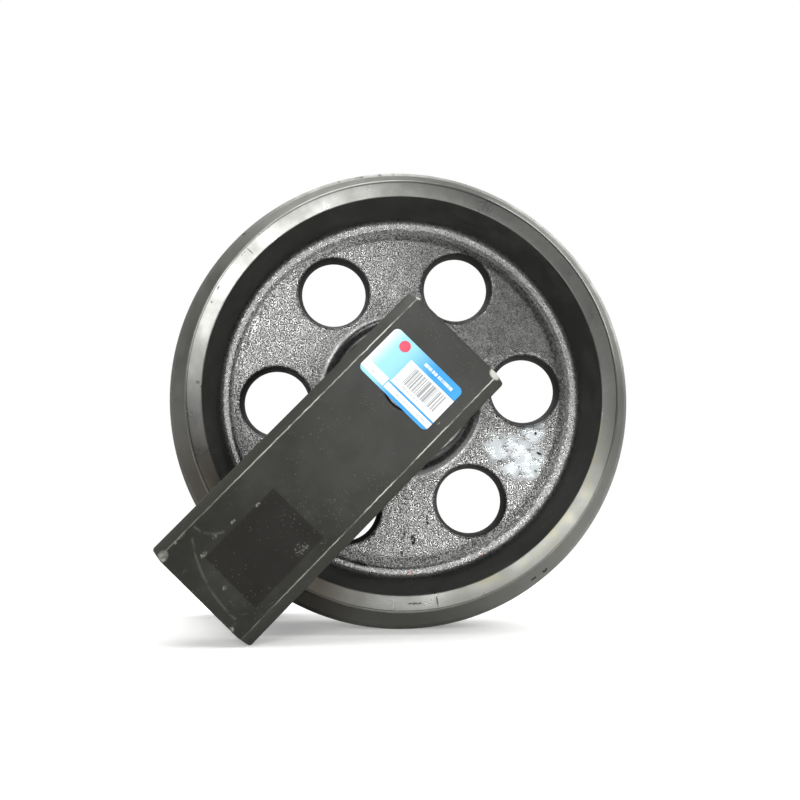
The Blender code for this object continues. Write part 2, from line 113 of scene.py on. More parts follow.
def layer(under, mask, ink, share=None):
    # A colour laid over another by a mask, at a share of its strength.
    return blendColor(mask if share is None else both(mask, share), under, ink)


def unevenness(vector, scale, detail, roughness=0.5, distortion=0.0):
    return addNode(treeOf(vector), "ShaderNodeTexNoise", {
        "Vector": vector, "Scale": scale, "Detail": detail, "Roughness": roughness,
        "Distortion": distortion}).outputs["Fac"]


def cloud(vector, size, detail, roughness=0.5):
    # Noise whose patches are about size metres across.
    return unevenness(vector, 1.0 / size, detail, roughness)


def lineCloud(value, row, size, detail):
    # Noise along one line; each row is a line of its own.
    line = addNode(treeOf(value), "ShaderNodeCombineXYZ", {"X": value, "Y": 0.0, "Z": row})
    return cloud(line.outputs[0], size, detail)


def patchy(vector, size, detail, low, high, roughness=0.5):
    # A broken mask: noise cut between two levels.
    return remap(cloud(vector, size, detail, roughness), low, high)


def spots(first, second, places):
    # 1 on small marks; each place is a middle and a half size in both coordinates.
    total = 0.0
    for firstMiddle, secondMiddle, firstHalf, secondHalf in places:
        one = doMath("DIVIDE", doMath("SUBTRACT", first, firstMiddle), firstHalf)
        two = doMath("DIVIDE", doMath("SUBTRACT", second, secondMiddle), secondHalf)
        reach = doMath("MULTIPLY_ADD", one, one, doMath("MULTIPLY", two, two))
        total = either(total, remap(reach, 1.4, 0.5))
    return total


def wheelSpots(turn, radius, places):
    # Each place is a turn in degrees, a distance from the axle, and half sizes outwards and round.
    return spots(radius, turn, [
        (distance, math.radians((degrees + 180.0) % 360.0 - 180.0), outwards, sideways / distance)
        for degrees, distance, outwards, sideways in places])


def sector(turn, degrees, low, high):
    # 1 towards a turn about the axle; low and high are cosines of the turn away from it.
    away = doMath("COSINE", doMath("SUBTRACT", turn, math.radians(degrees)))
    return remap(away, low, high)


def nearSide(depth):
    # 1 on the near side, where the web and the bracket have single marks.
    return doMath("LESS_THAN", depth, 0.0)


def newMaterial(name):
    material = bpy.data.materials.new(name)
    material.use_nodes = True
    tree = material.node_tree
    shader = tree.nodes["Principled BSDF"]
    return material, tree, shader


def wheelCoords(tree):
    # Object coordinates about the axle, with the distance from it and the turn round it.
    place = addNode(tree, "ShaderNodeTexCoord").outputs["Object"]
    centred = addNode(tree, "ShaderNodeMapping", {"Vector": place, "Location": axle}, vector_type="TEXTURE")
    split = addNode(tree, "ShaderNodeSeparateXYZ", {"Vector": centred.outputs[0]})
    x, depth, z = split.outputs
    squares = doMath("MULTIPLY_ADD", x, x, doMath("MULTIPLY", z, z))
    radius = doMath("SQRT", squares)
    turn = doMath("ARCTAN2", z, x)
    return centred.outputs[0], radius, turn, depth


def bracketCoords(tree, lean):
    # Along the bracket towards its tail, in depth, and across it.
    place = addNode(tree, "ShaderNodeTexCoord").outputs["Object"]
    turned = addNode(tree, "ShaderNodeMapping", {
        "Vector": place, "Location": axle, "Rotation": (0.0, math.pi - lean, 0.0)}, vector_type="TEXTURE")
    split = addNode(tree, "ShaderNodeSeparateXYZ", {"Vector": turned.outputs[0]})
    along, depth, across = split.outputs
    return turned.outputs[0], along, depth, across


# Shared effects.
def newGroup(name, takes, gives):
    group = bpy.data.node_groups.new(name, "ShaderNodeTree")
    for label, kind, value in takes:
        socket = group.interface.new_socket(label, in_out="INPUT", socket_type=kind)
        if value is not None:
            socket.default_value = value
    for label, kind in gives:
        group.interface.new_socket(label, in_out="OUTPUT", socket_type=kind)
    entry = group.nodes.new("NodeGroupInput")
    leave = group.nodes.new("NodeGroupOutput")
    return group, entry.outputs, leave.inputs


grainShape = {
    # levels of the noise between which lumps rise, and those of their hollows and tops
    "lumps": (0.30, 0.62), "hollows": (0.50, 0.34), "tops": (0.48, 0.64),
    "twist": 0.35,
    "pebbleScale": 1.9, "pebbleHeight": 0.7,    # against the lumps
    "waveScale": 0.14,
}


def makeCastGrain():
    # Rough cast skin: small even lumps with pits between them, finer pebbles, and slow waves.
    grain = grainShape
    group, given, out = newGroup("castGrain", [
        ("Vector", "NodeSocketVector", None),
        ("Lump Size", "NodeSocketFloat", 0.003),
    ], [("Height", "NodeSocketFloat"), ("Hollows", "NodeSocketFloat"), ("Tops", "NodeSocketFloat")])
    frequency = doMath("DIVIDE", 1.0, given["Lump Size"])
    lumps = unevenness(given["Vector"], frequency, 0.0, distortion=grain["twist"])
    rounded = remap(lumps, *grain["lumps"])
    pebbles = unevenness(given["Vector"], doMath("MULTIPLY", frequency, grain["pebbleScale"]), 1.0)
    fine = doMath("MULTIPLY", pebbles, grain["pebbleHeight"])
    waves = unevenness(given["Vector"], doMath("MULTIPLY", frequency, grain["waveScale"]), 1.0)
    feed(out["Height"], doMath("ADD", doMath("ADD", rounded, fine), waves))
    feed(out["Hollows"], remap(lumps, *grain["hollows"]))
    feed(out["Tops"], remap(lumps, *grain["tops"]))
    return group


dustShape = {
    "patches": (0.35, 0.75),        # levels of the noise between which the dust thickens
    "flecks": (0.20, 0.08),         # from a fleck's middle, as shares of the room between them
    "fleckScale": 9.0,              # against the patches
    "fleckPatches": (0.44, 0.58),   # levels of the noise that keep their flecks
}


def makeDust():
    # Pale dust in soft patches with small flecks.
    group, given, out = newGroup("dust", [
        ("Vector", "NodeSocketVector", None),
        ("Patch Size", "NodeSocketFloat", 0.04),
        ("Amount", "NodeSocketFloat", 0.5),
    ], [("Mask", "NodeSocketFloat"), ("Flecks", "NodeSocketFloat")])
    frequency = doMath("DIVIDE", 1.0, given["Patch Size"])
    patches = unevenness(given["Vector"], frequency, 6.0, 0.62)
    soft = remap(patches, *dustShape["patches"])
    feed(out["Mask"], both(soft, given["Amount"]))
    specks = addNode(group, "ShaderNodeTexVoronoi", {
        "Vector": given["Vector"], "Scale": doMath("MULTIPLY", frequency, dustShape["fleckScale"])})
    dots = remap(specks.outputs["Distance"], *dustShape["flecks"])
    feed(out["Flecks"], both(dots, remap(patches, *dustShape["fleckPatches"])))
    return group


castGrain = makeCastGrain()
dust = makeDust()


def useGroup(tree, group, values):
    return addNode(tree, "ShaderNodeGroup", values, node_tree=group).outputs


def bump(shader, height, distance):
    node = addNode(shader.id_data, "ShaderNodeBump", {
        "Height": height, "Distance": distance, "Strength": 1.0})
    feed(shader.inputs["Normal"], node.outputs[0])


def roughen(shader, tone, low, high):
    # Roughness from low to high with a noise.
    feed(shader.inputs["Roughness"], remap(tone, 0.3, 0.7, low, high))


# Wheel materials.
wheelShape = {
    "steps": 240, "holeSteps": 72, "webRings": 26,
    "flangeR": 0.2200, "flangeHalf": 0.0175, "flangeChamfer": 0.0040, "flangeRootHalf": 0.0275,
    "treadR": 0.2022, "treadEdgeR": 0.2008,
    "rimHalf": 0.0545, "rimInnerR": 0.1851, "rimRootR": 0.1735, "webHalf": 0.0120,
    "hubR": 0.0640, "hubFootR": 0.0715, "hubHalf": 0.0440, "hubFillet": 0.0105,
    "valleyR": 0.1628, "valleyStart": 0.1658, "valleyDepth": 0.0017, "valleyEnd": 0.1540,
    "pocketR": 0.0375, "seatHalf": 0.0300, "boreR": 0.0308, "chamberR": 0.0400, "chamberHalf": 0.0060,
    # fillets and their segments, from the flange's edge inwards
    "flangeEdge": (0.0012, 3), "flangeShoulder": (0.0014, 3), "flangeRoot": (0.0040, 5),
    "treadEdge": (0.0016, 4), "rimEdge": (0.0012, 4), "rimRoot": (0.0066, 8),
    "valleySides": ((0.0040, 3), (0.0050, 4), (0.0100, 3)),
    "hubEdge": (0.0020, 4), "pocketEdge": (0.0006, 2),
    "holes": 6, "holePitchR": 0.1203, "holePhase": math.radians(3.3),
    "holeThroatR": 0.0311, "holeDraft": 0.0042, "holeLip": 0.0022,
    "lipLift": 0.0003,      # from the web to the top of a hole's lip
    "coreReach": 0.0080,    # of a hole's core past the web
    "lipShare": 0.8,        # of the lip's depth, that keeps the web's paint
    "faceEdge": 0.0009,     # of the rim's roundings, that belongs to the machined face
    "webWave": 0.00035,     # how far the cast web swells and sinks
    "waveScales": ((60.0, 1.0), (140.0, 0.5)),      # waves per metre, and their share
    "waveStart": 0.010,     # run over which the swell rises
    "waveEnd": (0.004, 0.012),      # how far past the valley's inner end it stops, and its fall's run
    "smoothAngle": 38,
}

wheelPaint = {
    # a number beside a colour, here and below: how much of it shows where its mask is full
    "black": (0.100, 0.100, 0.098),
    "worn": (0.160, 0.162, 0.160),
    # painted highlight on the lump tops and the rim's foot, and painted shade in the hollows and the valley
    "top": (0.28, 0.28, 0.275),
    "hollowShade": (0.050, 0.050, 0.048),
    # painted shade on the web's upper right
    "upperRightShade": ((0.052, 0.053, 0.050), 0.45),
    "pit": (0.004, 0.004, 0.004),
    "smudge": ((0.24, 0.26, 0.265), 0.8),
    "rust": (0.45, 0.10, 0.03),
    "metallic": 0.92,
    "roughness": (0.21, 0.35),      # of the paint on the cast web
    "lump": 0.0012,         # across one lump of the casting's skin
    "grainDepth": 0.00012,
    "upperRightShadePlace": (38.0, 0.55, 0.95),       # turn in degrees, and the cosines at which it starts and is full
    # brown dirt and painted shade on the lower left
    "grimeAndShadePlace": (224.0, 0.78, 0.95),
    # patch size and detail of a noise, and the levels that it is cut between
    "wornPatches": (0.02, 4.0, 0.3, 0.7),
    "smudgeBreak": (0.012, 4.0, 0.32, 0.52), "pitBreak": (0.0022, 3.0, 0.30, 0.44),
    "nickBreak": (0.0024, 3.0, 0.40, 0.52),
    # shares of the painted shade in the valley and of the painted highlight at the rim's foot
    "valleyShadeShare": 0.7, "footHighlightShare": 0.45,
    "smudgeFill": 0.85,     # how much of the skin's height a smear takes away
    "hubSmooth": (0.0770, 0.0850, 0.15),    # radii round the hub's foot, and the skin's height there
    # the painted shade's line in the valley and the painted highlight's band at the rim's foot
    "valleyShadeLine": (0.0006, 0.0016),         # half width and soft edge
    "footHighlightBand": (0.1678, 0.0010, 0.0022),   # radius, half width and soft edge
    "wallBlend": (0.1690, 0.1735), "hubBlend": (0.0680, 0.0655),    # radii
    "rubbedBlend": (0.2000, 0.2012),
    # turn in degrees, distance from the axle, half size outwards and round
    "pits": (
        (281.7, 0.1222, 0.0035, 0.0014), (274.5, 0.1380, 0.0050, 0.0022), (271.2, 0.1310, 0.0024, 0.0012),
        (269.9, 0.1498, 0.0020, 0.0016), (344.8, 0.1354, 0.0012, 0.0022), (337.7, 0.1449, 0.0030, 0.0012),
        (331.1, 0.1486, 0.0016, 0.0012), (256.0, 0.1640, 0.0030, 0.0060)),
    "smudges": ((332.6, 0.1220, 0.0320, 0.0190), (345.0, 0.1330, 0.0120, 0.0120)),
    "rustSpots": ((296.9, 0.1700, 0.0010, 0.0014), (272.7, 0.1688, 0.0009, 0.0012)),
    "nicks": (
        (134.5, 0.2185, 0.0018, 0.0022), (106.4, 0.2180, 0.0012, 0.0014), (101.2, 0.2180, 0.0014, 0.0050),
        (95.8, 0.2180, 0.0020, 0.0016), (92.4, 0.2180, 0.0020, 0.0014), (309.2, 0.2144, 0.0014, 0.0030),
        (305.8, 0.2136, 0.0008, 0.0040)),
    "smoothBlack": (0.020, 0.021, 0.019),
    "smoothDusty": (0.042, 0.042, 0.037),
    "smoothRoughness": (0.37, 0.54),
    "fleck": ((0.20, 0.20, 0.17), 0.25),
    "flange": (0.15, 0.15, 0.138),
    # brown dirt and painted shade on the flange's lower left
    "flangeGrimeAndShade": ((0.050, 0.043, 0.033), 0.8),
    "flangeMetallic": 0.6,
    "coreBlack": (0.010, 0.010, 0.009),
    "coreWorn": (0.022, 0.021, 0.019),
    "coreRoughness": (0.62, 0.78),
    "coreSpecular": 0.12,
}


def makeCastPaint():
    material, tree, shader = newMaterial("castPaint")
    paint = wheelPaint
    place, radius, turn, depth = wheelCoords(tree)
    skin = useGroup(tree, castGrain, {"Vector": place, "Lump Size": paint["lump"]})
    near = nearSide(depth)
    # The skin is smoother round the hub's foot, and where a smear of paint fills it.
    smear = both(wheelSpots(turn, radius, paint["smudges"]), patchy(place, *paint["smudgeBreak"]))
    smear = both(smear, near)
    rough = both(remap(radius, *paint["hubSmooth"]), doMath("MULTIPLY_ADD", smear, -paint["smudgeFill"], 1.0))
    bump(shader, both(skin["Height"], rough), paint["grainDepth"])
    color = blendColor(patchy(place, *paint["wornPatches"]), paint["black"], paint["worn"])
    # The lump tops get a painted highlight, and the hollows between them get painted shade.
    color = layer(color, skin["Tops"], paint["top"], rough)
    color = layer(color, skin["Hollows"], paint["hollowShade"], rough)
    color = layer(color, smear, *paint["smudge"])
    # The upper right gets painted shade, so it is darker and more even.
    color = layer(color, sector(turn, *paint["upperRightShadePlace"]), *paint["upperRightShade"])
    ragged = both(patchy(place, *paint["pitBreak"]), near)
    color = layer(color, both(wheelSpots(turn, radius, paint["pits"]), ragged), paint["pit"])
    color = layer(color, both(wheelSpots(turn, radius, paint["rustSpots"]), ragged), paint["rust"])
    # Painted shade as a dark line in the valley at the rim's foot, and a painted highlight as a paler band
    # outside it.
    valley = band(radius, wheelShape["valleyR"], *paint["valleyShadeLine"])
    color = layer(color, valley, paint["hollowShade"], paint["valleyShadeShare"])
    color = layer(color, band(radius, *paint["footHighlightBand"]), paint["top"], paint["footHighlightShare"])
    # The skin darkens into the plain paint of the rim's inner wall and of the hub's front.
    wall = either(remap(radius, *paint["wallBlend"]), remap(radius, *paint["hubBlend"]))
    color = layer(color, wall, paint["smoothBlack"])
    feed(shader.inputs["Base Color"], color)
    roughen(shader, cloud(place, 0.006, 3.0), *paint["roughness"])
    feed(shader.inputs["Metallic"], both(doMath("SUBTRACT", 1.0, wall), paint["metallic"]))
    return material


def makeCorePaint():
    # Inside the holes the paint is thin and dull.
    material, tree, shader = newMaterial("corePaint")
    paint = wheelPaint
    place = wheelCoords(tree)[0]
    tone = cloud(place, 0.008, 4.0)
    color = blendColor(remap(tone, 0.35, 0.7), paint["coreBlack"], paint["coreWorn"])
    feed(shader.inputs["Base Color"], color)
    roughen(shader, tone, *paint["coreRoughness"])
    shader.inputs["Specular IOR Level"].default_value = paint["coreSpecular"]
    bump(shader, cloud(place, 0.003, 3.0), 0.0002)
    return material


def grimeAndShadeMask(turn, depth):
    # Brown dirt and painted shade on the near side's lower left.
    return both(sector(turn, *wheelPaint["grimeAndShadePlace"]), nearSide(depth))


def makeSmoothPaint():
    material, tree, shader = newMaterial("rimPaint")
    paint = wheelPaint
    place, radius, turn, depth = wheelCoords(tree)
    marks = useGroup(tree, dust, {"Vector": place, "Patch Size": 0.03, "Amount": 0.5})
    color = blendColor(marks["Mask"], paint["smoothBlack"], paint["smoothDusty"])
    # Small dark nicks along the flange.
    nicks = both(wheelSpots(turn, radius, paint["nicks"]), patchy(place, *paint["nickBreak"]))
    # Outside the machined face the paint is rubbed thin.
    rubbed = remap(radius, *paint["rubbedBlend"])
    color = layer(color, rubbed, paint["flange"])
    # Brown dirt and painted shade on the flange's lower left.
    color = layer(color, both(rubbed, grimeAndShadeMask(turn, depth)), *paint["flangeGrimeAndShade"])
    color = layer(color, marks["Flecks"], *paint["fleck"])
    color = layer(color, nicks, paint["pit"])
    feed(shader.inputs["Base Color"], color)
    feed(shader.inputs["Metallic"], both(rubbed, paint["flangeMetallic"]))
    roughen(shader, cloud(place, 0.015, 4.0), *paint["smoothRoughness"])
    bump(shader, cloud(place, 0.004, 3.0), 0.00008)
    return material


steelFace = {
    "steel": (0.27, 0.27, 0.26),
    "worn": (0.20, 0.20, 0.187),
    "groove": (0.09, 0.09, 0.085),
    "mark": (0.05, 0.05, 0.045),
    "stain": (0.150, 0.142, 0.098),
    # painted shade on the right
    "rightShade": ((0.118, 0.121, 0.112), 0.9),
    # brown dirt and painted shade on the lower left
    "grimeAndShade": ((0.080, 0.068, 0.052), 0.85),
    "edge": (0.035, 0.035, 0.032),
    "metallic": 0.9,
    "roughness": (0.26, 0.37),
    "anisotropy": 0.85, "quarterTurn": 0.25,
    "ringPitch": 0.0011, "ringWander": 0.0012,
    "grooveLevels": (0.5, 0.75, 0.0, 0.25), "speckLevels": (0.60, 0.72, 0.0, 0.35),
    # where the painted shade and the stains lie
    "stainAndShadePlace": (-42.0, 0.70, 0.92),      # turn in degrees, and the cosines at which it starts and is full
    "stainInner": (0.1960, 0.1860, 0.35, 1.0),      # radii, and the stains' shares there
    "stainShare": 0.7,
    # patch size and detail of a noise, the levels that it is cut between, and its roughness
    "stainBreak": (0.011, 4.0, 0.46, 0.60, 0.6), "scratchBreak": (0.0016, 2.0, 0.36, 0.50),
    "edgeInset": 0.0026, "edgeWander": 0.0008, "edgeWidth": (0.0007, 0.0002, 0.0, 0.8),
    # turn in degrees, distance from the axle, half size outwards and round
    "scratches": (
        (137.9, 0.1935, 0.0045, 0.0005), (139.6, 0.1964, 0.0004, 0.0030), (151.2, 0.1963, 0.0011, 0.0024),
        (155.4, 0.1951, 0.0011, 0.0011), (177.8, 0.1890, 0.0018, 0.0014), (278.7, 0.1925, 0.0055, 0.0008),
        (272.6, 0.1923, 0.0010, 0.0070)),
}


def makeTurnedFace():
    material, tree, shader = newMaterial("turnedSteel")
    f = steelFace
    place, radius, turn, depth = wheelCoords(tree)
    # The lathe's rings, broken up a little round the wheel.
    wander = doMath("MULTIPLY", cloud(place, 0.05, 2.0), f["ringWander"])
    rings = lineCloud(doMath("ADD", radius, wander), 0.0, f["ringPitch"], 2.0)
    patches = cloud(place, 0.03, 5.0, 0.6)
    color = blendColor(remap(patches, 0.35, 0.7), f["steel"], f["worn"])
    color = layer(color, remap(rings, *f["grooveLevels"]), f["groove"])
    specks = cloud(place, 0.0022, 3.0, 0.7)
    color = layer(color, remap(specks, *f["speckLevels"]), f["groove"])
    # The right gets painted shade, the near side's lower left brown dirt and painted shade.
    right = sector(turn, *f["stainAndShadePlace"])
    color = layer(color, right, *f["rightShade"])
    color = layer(color, grimeAndShadeMask(turn, depth), *f["grimeAndShade"])
    # Yellowish stains on the right, most along the inner edge.
    inner = remap(radius, *f["stainInner"])
    stained = patchy(place, *f["stainBreak"])
    color = layer(color, both(both(right, inner), both(stained, f["stainShare"])), f["stain"])
    # Scratches and dents, and the dark line along the outer edge.
    marks = both(wheelSpots(turn, radius, f["scratches"]), patchy(place, *f["scratchBreak"]))
    color = layer(color, marks, f["mark"])
    edgeR = doMath("MULTIPLY_ADD", cloud(place, 0.02, 3.0), f["edgeWander"],
                   wheelShape["treadEdgeR"] - f["edgeInset"])
    edge = doMath("ABSOLUTE", doMath("SUBTRACT", radius, edgeR))
    color = layer(color, remap(edge, *f["edgeWidth"]), f["edge"])
    feed(shader.inputs["Base Color"], color)
    shader.inputs["Metallic"].default_value = f["metallic"]
    roughen(shader, patches, *f["roughness"])
    shader.inputs["Anisotropic"].default_value = f["anisotropy"]
    shader.inputs["Anisotropic Rotation"].default_value = f["quarterTurn"]
    tangent = addNode(tree, "ShaderNodeTangent", direction_type="RADIAL", axis="Y")
    feed(shader.inputs["Tangent"], tangent.outputs[0])
    bump(shader, rings, 0.00003)
    return material


castPaint = makeCastPaint()
corePaint = makeCorePaint()
rimPaint = makeSmoothPaint()
turnedSteel = makeTurnedFace()
print("Made the wheel's four finishes")


# Wheel.
mergeDistance = 0.000002    # vertices nearer than this become one


def wireProfile(bm, corners):
    # Joins corners with edges. A corner is a radius and a depth, with a fillet and segments if it is rounded.
    verts = [bm.verts.new((corner[0], corner[1], 0.0)) for corner in corners]
    for first, second in zip(verts, verts[1:]):
        bm.edges.new((first, second))
    reaches = []
    for vert, (radius, depth, *fillet) in zip(verts, corners):
        if fillet:
            arms = [edge.other_vert(vert).co - vert.co for edge in vert.link_edges]
            reaches.append((vert, fillet[0] / math.tan(arms[0].angle(arms[1]) / 2), fillet[1]))
    for vert, reach, segments in reaches:
        bmesh.ops.bevel(bm, geom=[vert], offset=reach, offset_type="OFFSET", segments=segments,
                        profile=0.5, affect="VERTICES", clamp_overlap=True, material=-1)


def weld(bm):
    bmesh.ops.remove_doubles(bm, verts=bm.verts[:], dist=mergeDistance)
    bmesh.ops.recalc_face_normals(bm, faces=bm.faces[:])


def spinRound(bm, steps, axis):
    bmesh.ops.spin(bm, geom=bm.verts[:] + bm.edges[:], cent=(0.0, 0.0, 0.0), axis=axis,
                   dvec=(0.0, 0.0, 0.0), angle=math.tau, steps=steps, use_merge=True)
    weld(bm)


def turnWheelShape(bm, steps):
    # Turns a profile of the near half about the axle, and adds the far half.
    spinRound(bm, steps, (0.0, 1.0, 0.0))
    bmesh.ops.mirror(bm, geom=bm.verts[:] + bm.edges[:] + bm.faces[:], matrix=Matrix.Identity(4),
                     merge_dist=mergeDistance, axis="Y")
    weld(bm)


def meshPiece(name, bm, materials):
    mesh = bpy.data.meshes.new(name)
    bm.to_mesh(mesh)
    bm.free()
    for material in materials:
        mesh.materials.append(material)
    piece = bpy.data.objects.new(name, mesh)
    bpy.context.scene.collection.objects.link(piece)
    return piece


def applyModifiers(piece):
    # Keeps the finished mesh and drops what made it.
    graph = bpy.context.evaluated_depsgraph_get()
    done = bpy.data.meshes.new_from_object(piece.evaluated_get(graph), depsgraph=graph)
    piece.modifiers.clear()
    old = piece.data
    piece.data = done
    done.name = piece.name
    bpy.data.meshes.remove(old)


def boolean(piece, tool, operation):
    change = piece.modifiers.new(operation.title(), "BOOLEAN")
    change.operation = operation
    change.solver = "EXACT"
    change.object = tool


def smoothPiece(piece, angle):
    piece.data.shade_smooth()
    piece.data.set_sharp_from_angle(angle=math.radians(angle))


wheelSkins = [castPaint, rimPaint, turnedSteel, corePaint]
rimSkin, steelSkin, coreSkin = 1, 2, 3      # their places in that list; a face has the first unless told


def paintWheel(bm):
    # The machined side faces and the bore are steel, the rim and flange smoothly painted.
    s = wheelShape
    for face in bm.faces:
        middle = face.calc_center_median()
        radius = math.hypot(middle.x, middle.z)
        outermost = abs(middle.y) > s["rimHalf"] - s["faceEdge"]
        if outermost and s["rimInnerR"] - s["faceEdge"] < radius < s["treadEdgeR"]:
            face.material_index = steelSkin
        elif radius > s["rimRootR"] + 0.001:
            face.material_index = rimSkin
        elif radius < s["pocketR"] + 0.0001:
            face.material_index = steelSkin


def swellWeb(bm):
    # The cast web swells and sinks a little between the hub's fillet and the valley.
    s = wheelShape
    past, run = s["waveEnd"]
    for vert in bm.verts:
        radius = math.hypot(vert.co.x, vert.co.z)
        fade = min(1.0, (radius - s["hubFootR"] - s["hubFillet"]) / s["waveStart"],
                   (s["valleyEnd"] + past - radius) / run)
        if fade > 0.0 and abs(vert.co.y) < 0.02:
            wave = sum(share * noise.noise(vert.co * scale) for scale, share in s["waveScales"])
            vert.co.y += math.copysign(wave * fade * s["webWave"], vert.co.y)


def makeHoleCore():
    s = wheelShape
    bm = bmesh.new()
    lipR = s["holeThroatR"] + s["holeDraft"]
    lipHeight = s["webHalf"] + s["lipLift"]
    top = s["webHalf"] + s["coreReach"]
    wireProfile(bm, [
        (s["holeThroatR"], 0.0),
        (lipR, -lipHeight, s["holeLip"], 6),
        (lipR + s["holeLip"], -lipHeight),
        (lipR + s["holeLip"], -top),
        (0.0, -top),
    ])
    turnWheelShape(bm, s["holeSteps"])
    # The hole's wall has the dull paint, its rounded lip the web's.
    for face in bm.faces:
        if abs(face.calc_center_median().y) < lipHeight - s["lipShare"] * s["holeLip"]:
            face.material_index = coreSkin
    return meshPiece("holeCore", bm, wheelSkins)


def makeWheel():
    s = wheelShape
    bm = bmesh.new()
    web = -s["webHalf"]
    wireProfile(bm, [
        (s["flangeR"], 0.0),
        (s["flangeR"], -s["flangeHalf"], *s["flangeEdge"]),
        (s["flangeR"] - s["flangeChamfer"], -s["flangeHalf"] - s["flangeChamfer"], *s["flangeShoulder"]),
        (s["treadR"], -s["flangeRootHalf"], *s["flangeRoot"]),
        (s["treadEdgeR"], -s["rimHalf"], *s["treadEdge"]),
        (s["rimInnerR"], -s["rimHalf"], *s["rimEdge"]),
        (s["rimRootR"], web, *s["rimRoot"]),
        (s["valleyStart"], web, *s["valleySides"][0]),
        (s["valleyR"], web + s["valleyDepth"], *s["valleySides"][1]),
        (s["valleyEnd"], web, *s["valleySides"][2]),
        (s["hubFootR"], web, s["hubFillet"], 9),
        (s["hubR"], -s["hubHalf"], *s["hubEdge"]),
        (s["pocketR"], -s["hubHalf"], *s["pocketEdge"]),
        (s["pocketR"], -s["seatHalf"]),
        (s["boreR"], -s["seatHalf"]),
        (s["boreR"], -s["chamberHalf"]),
        (s["chamberR"], -s["chamberHalf"]),
        (s["chamberR"], 0.0),
    ])
    # The web's long run gets rings of its own, so that it can swell and sink.
    longRuns = [edge for edge in bm.edges if edge.calc_length() > 0.05]
    bmesh.ops.subdivide_edges(bm, edges=longRuns, cuts=s["webRings"])
    turnWheelShape(bm, s["steps"])
    paintWheel(bm)
    swellWeb(bm)
    bmesh.ops.translate(bm, verts=bm.verts[:], vec=axle)
    wheel = meshPiece("idlerWheel", bm, wheelSkins)

    core = makeHoleCore()
    cores = []
    for i in range(s["holes"]):
        angle = s["holePhase"] + i * math.tau / s["holes"]
        place = axle + Vector((math.cos(angle), 0.0, math.sin(angle))) * s["holePitchR"]
        copy = core.copy()
        copy.data = core.data.copy()
        copy.data.transform(Matrix.Translation(place))
        bpy.context.scene.collection.objects.link(copy)
        boolean(wheel, copy, "DIFFERENCE")
        cores.append(copy)
    applyModifiers(wheel)
    for tool in cores + [core]:
        bpy.data.objects.remove(tool)
    smoothPiece(wheel, s["smoothAngle"])
    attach(wheel, "wheel")
    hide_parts("idler_rim", "idler_web")
    return wheel


wheel = makeWheel()
print("Made the wheel:", len(wheel.data.polygons), "faces")


# Brackets.
bracketShape = {
    "lean": math.radians(45.7745),
    "nose": 0.0600, "tail": 0.2520, "width": 0.1154, "inner": 0.0660, "outer": 0.1122,
    "chamfer": 0.0096, "cornerR": 0.0030, "edgeR": 0.0007,
    "bossR": 0.0550, "bossFootR": 0.0565, "bossFace": 0.0458, "bossEdge": 0.0020,
    "pocketR": 0.0375, "sealFloor": 0.0560, "boreR": 0.0233, "boreMouth": 0.0008,
    "coreStart": 0.0825, "coreEnd": 0.2130, "coreWidth": 0.0360, "coreRib": 0.0180, "coreDepth": 0.0180,
    "coreCornerR": 0.0100, "coreFloorR": 0.0030,
    "yokeR": 0.0065, "yokeDepth": 0.0280, "yokeOffset": 0.0320, "holeHeight": 0.0891,
    "pinR": 0.0063, "pinOffset": 0.0245,
    "reach": 0.004,         # of a tool past the face that it cuts or joins
    "turnedSteps": 96, "drilledSteps": 32,
    "smoothAngle": 35,
}

